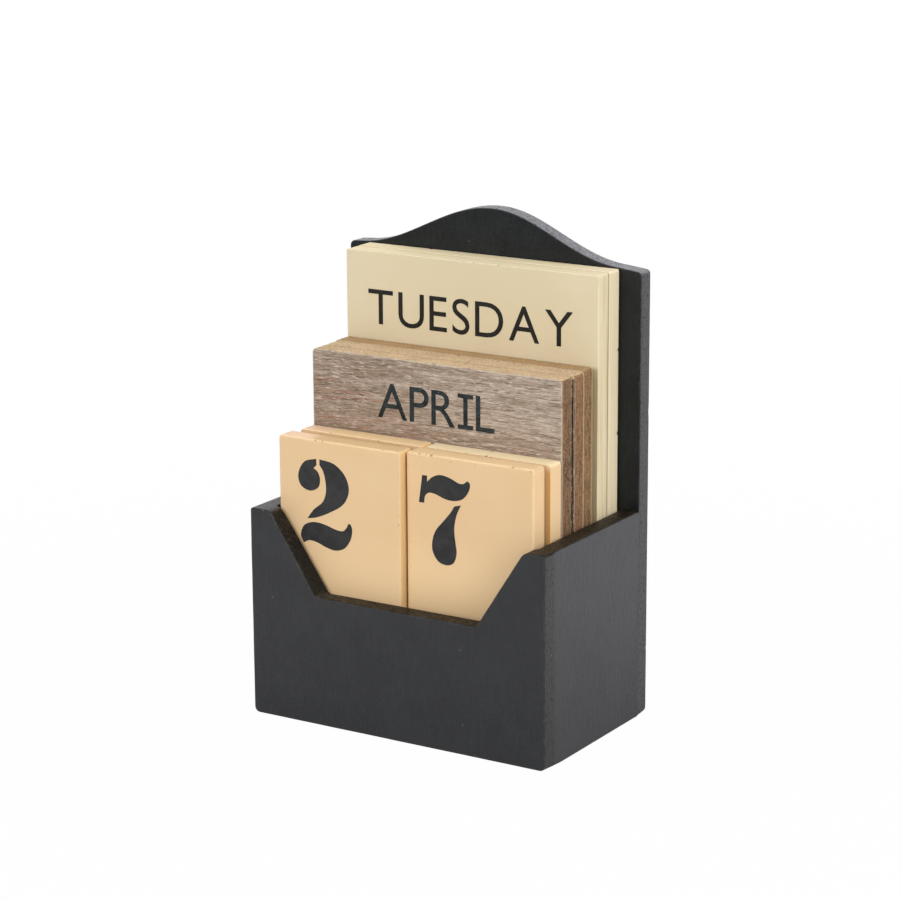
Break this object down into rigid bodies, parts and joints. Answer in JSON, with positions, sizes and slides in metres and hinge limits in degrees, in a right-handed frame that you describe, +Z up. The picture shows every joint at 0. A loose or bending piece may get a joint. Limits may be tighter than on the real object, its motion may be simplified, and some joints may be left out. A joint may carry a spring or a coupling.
{
  "type": "block calendar",
  "caption": "Desk block calendar: open painted wooden box with a bell-topped back and a notched front, holding loose weekday and month plates and date tiles that lift out.",
  "frame": {"origin": "middle of the underside of the box, on the surface that it stands on", "axes": "+X to the right seen from the front, +Y to the back panel, +Z up; the notched front panel faces -Y"},
  "size_m": [0.1, 0.06, 0.1482],
  "materials": {
    "charcoal_paint": "matte charcoal paint on fibreboard",
    "cream_board": "matte cream, smooth faces and plain cut edges",
    "walnut_board": "matte greyed walnut veneer with brown cut edges",
    "peach_board": "matte pale peach, smooth",
    "printed_ink": "flat charcoal printing ink"
  },
  "bodies": {
    "box": {"front_panel": "charcoal_paint", "back_panel": "charcoal_paint", "left_side_panel": "charcoal_paint", "right_side_panel": "charcoal_paint", "floor_panel": "charcoal_paint"},
    "weekday_front": {"weekday_plate_front": "cream_board"},
    "weekday_rear": {"weekday_plate_rear": "cream_board"},
    "month_front": {"month_plate_front": "walnut_board"},
    "month_middle": {"month_plate_middle": "walnut_board"},
    "month_rear": {"month_plate_rear": "walnut_board"},
    "left_tile_front": {"left_date_tile_front": "peach_board"},
    "left_tile_rear": {"left_date_tile_rear": "peach_board"},
    "right_tile_front": {"right_date_tile_front": "peach_board"},
    "right_tile_rear": {"right_date_tile_rear": "peach_board"}
  },
  "joints": [
    {"name": "weekday_front_lift", "type": "slide", "parent": "box", "child": "weekday_front", "axis": [0, 0, 1], "range_m": [0, 0.109]},
    {"name": "weekday_rear_lift", "type": "slide", "parent": "box", "child": "weekday_rear", "axis": [0, 0, 1], "range_m": [0, 0.136]},
    {"name": "month_front_lift", "type": "slide", "parent": "box", "child": "month_front", "axis": [0, 0, 1], "range_m": [0, 0.086]},
    {"name": "month_middle_lift", "type": "slide", "parent": "box", "child": "month_middle", "axis": [0, 0, 1], "range_m": [0, 0.109]},
    {"name": "month_rear_lift", "type": "slide", "parent": "box", "child": "month_rear", "axis": [0, 0, 1], "range_m": [0, 0.109]},
    {"name": "left_tile_front_lift", "type": "slide", "parent": "box", "child": "left_tile_front", "axis": [0, 0, 1], "range_m": [0, 0.065]},
    {"name": "left_tile_rear_lift", "type": "slide", "parent": "box", "child": "left_tile_rear", "axis": [0, 0, 1], "range_m": [0, 0.086]},
    {"name": "right_tile_front_lift", "type": "slide", "parent": "box", "child": "right_tile_front", "axis": [0, 0, 1], "range_m": [0, 0.065]},
    {"name": "right_tile_rear_lift", "type": "slide", "parent": "box", "child": "right_tile_rear", "axis": [0, 0, 1], "range_m": [0, 0.086]}
  ]
}
